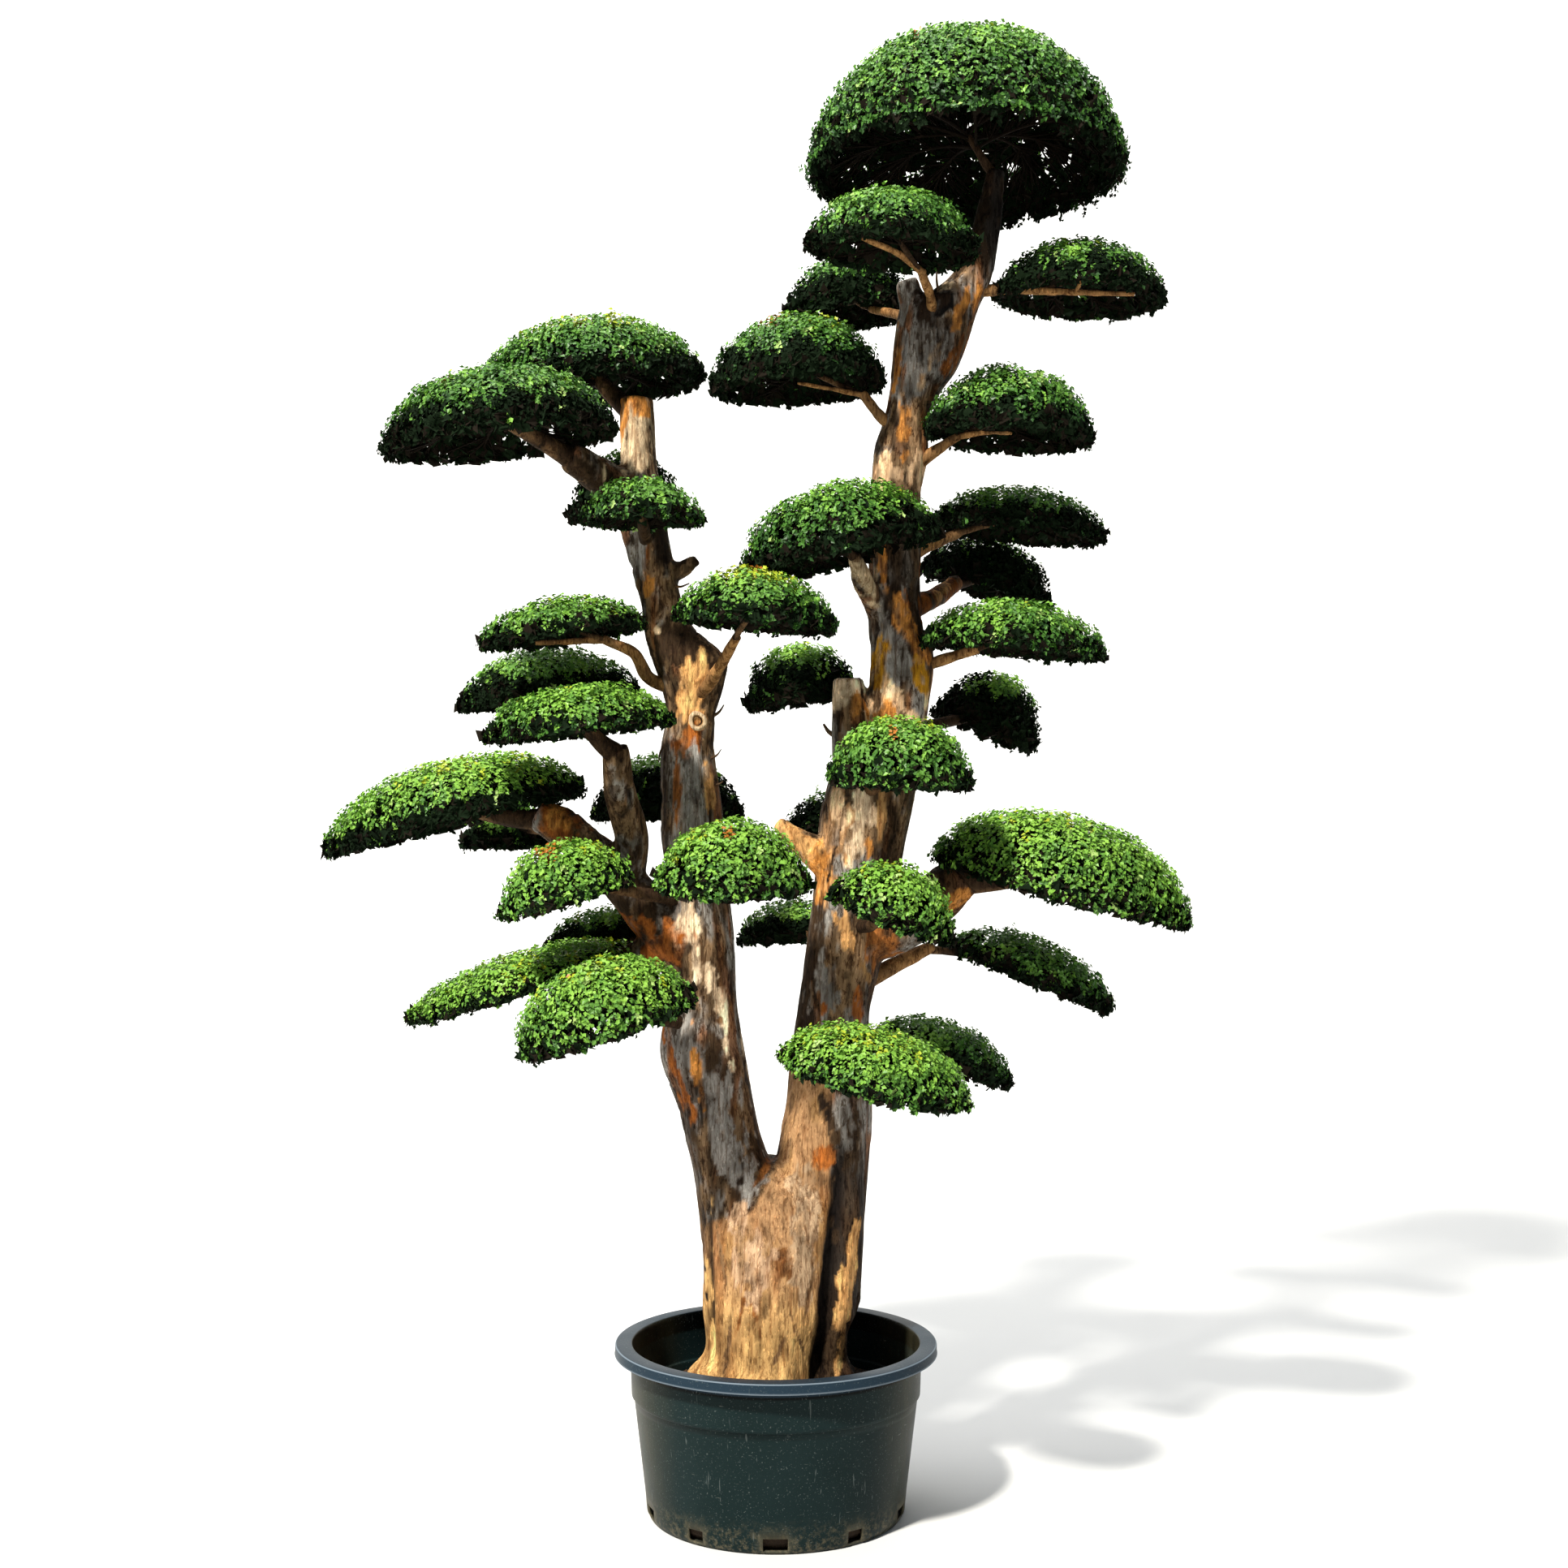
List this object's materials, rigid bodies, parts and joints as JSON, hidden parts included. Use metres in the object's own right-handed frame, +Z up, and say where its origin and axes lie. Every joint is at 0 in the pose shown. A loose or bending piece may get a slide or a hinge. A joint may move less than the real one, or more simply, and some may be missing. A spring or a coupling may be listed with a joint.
{
  "type": "potted chinese elm",
  "caption": "Old Chinese elm in a round dark plastic tub: a short stout trunk forks into tall stems that carry clipped domed pads of small leaves.",
  "frame": {"origin": "middle of the tub's flat underside", "axes": "+Z up along the tree's height, +X to the right and -Y toward the viewer of the picture"},
  "size_m": [1.6059, 0.7751, 2.7609],
  "materials": {
    "pot_plastic": "satin moulded polypropylene, scuffed and dusty near the foot",
    "potting_mix": "rough damp potting mix",
    "bark": "mottled peeling bark with bare tan wood at the foot",
    "foliage": "small leaves with a soft sheen, yellower on the tops of the pads"
  },
  "bodies": {
    "root": {"pot": "pot_plastic", "soil": "potting_mix", "trunk": "bark", "left_stem": "bark", "right_stem": "bark", "bough_left_low": "bark", "bough_left_upright": "bark", "bough_left_lower": "bark", "bough_left_top": "bark", "bough_left_cranked": "bark", "bough_left_prop": "bark", "bough_right_low": "bark", "bough_right_lower": "bark", "bough_right_hook": "bark", "bough_right_back": "bark", "bough_right_long": "bark", "bough_right_short": "bark", "bough_right_strut": "bark", "bough_right_pale": "bark", "bough_right_wing": "bark", "bough_right_rear": "bark", "bough_right_shelf": "bark", "pad_left_01": "foliage", "pad_left_02": "foliage", "pad_left_03": "foliage", "pad_left_04": "foliage", "pad_left_05": "foliage", "pad_left_06": "foliage", "pad_left_07": "foliage", "pad_left_08": "foliage", "pad_left_09": "foliage", "pad_left_10": "foliage", "pad_left_11": "foliage", "pad_left_12": "foliage", "pad_left_13": "foliage", "pad_left_14": "foliage", "pad_left_15": "foliage", "pad_left_16": "foliage", "pad_right_01": "foliage", "pad_right_02": "foliage", "pad_right_03": "foliage", "pad_right_04": "foliage", "pad_right_05": "foliage", "pad_right_06": "foliage", "pad_right_07": "foliage", "pad_right_08": "foliage", "pad_right_09": "foliage", "pad_right_10": "foliage", "pad_right_11": "foliage", "pad_right_12": "foliage", "pad_right_13": "foliage", "pad_right_14": "foliage", "pad_right_15": "foliage", "pad_right_16": "foliage", "pad_right_17": "foliage", "pad_right_18": "foliage", "pad_right_19": "foliage", "pad_right_20": "foliage"}
  },
  "joints": []
}
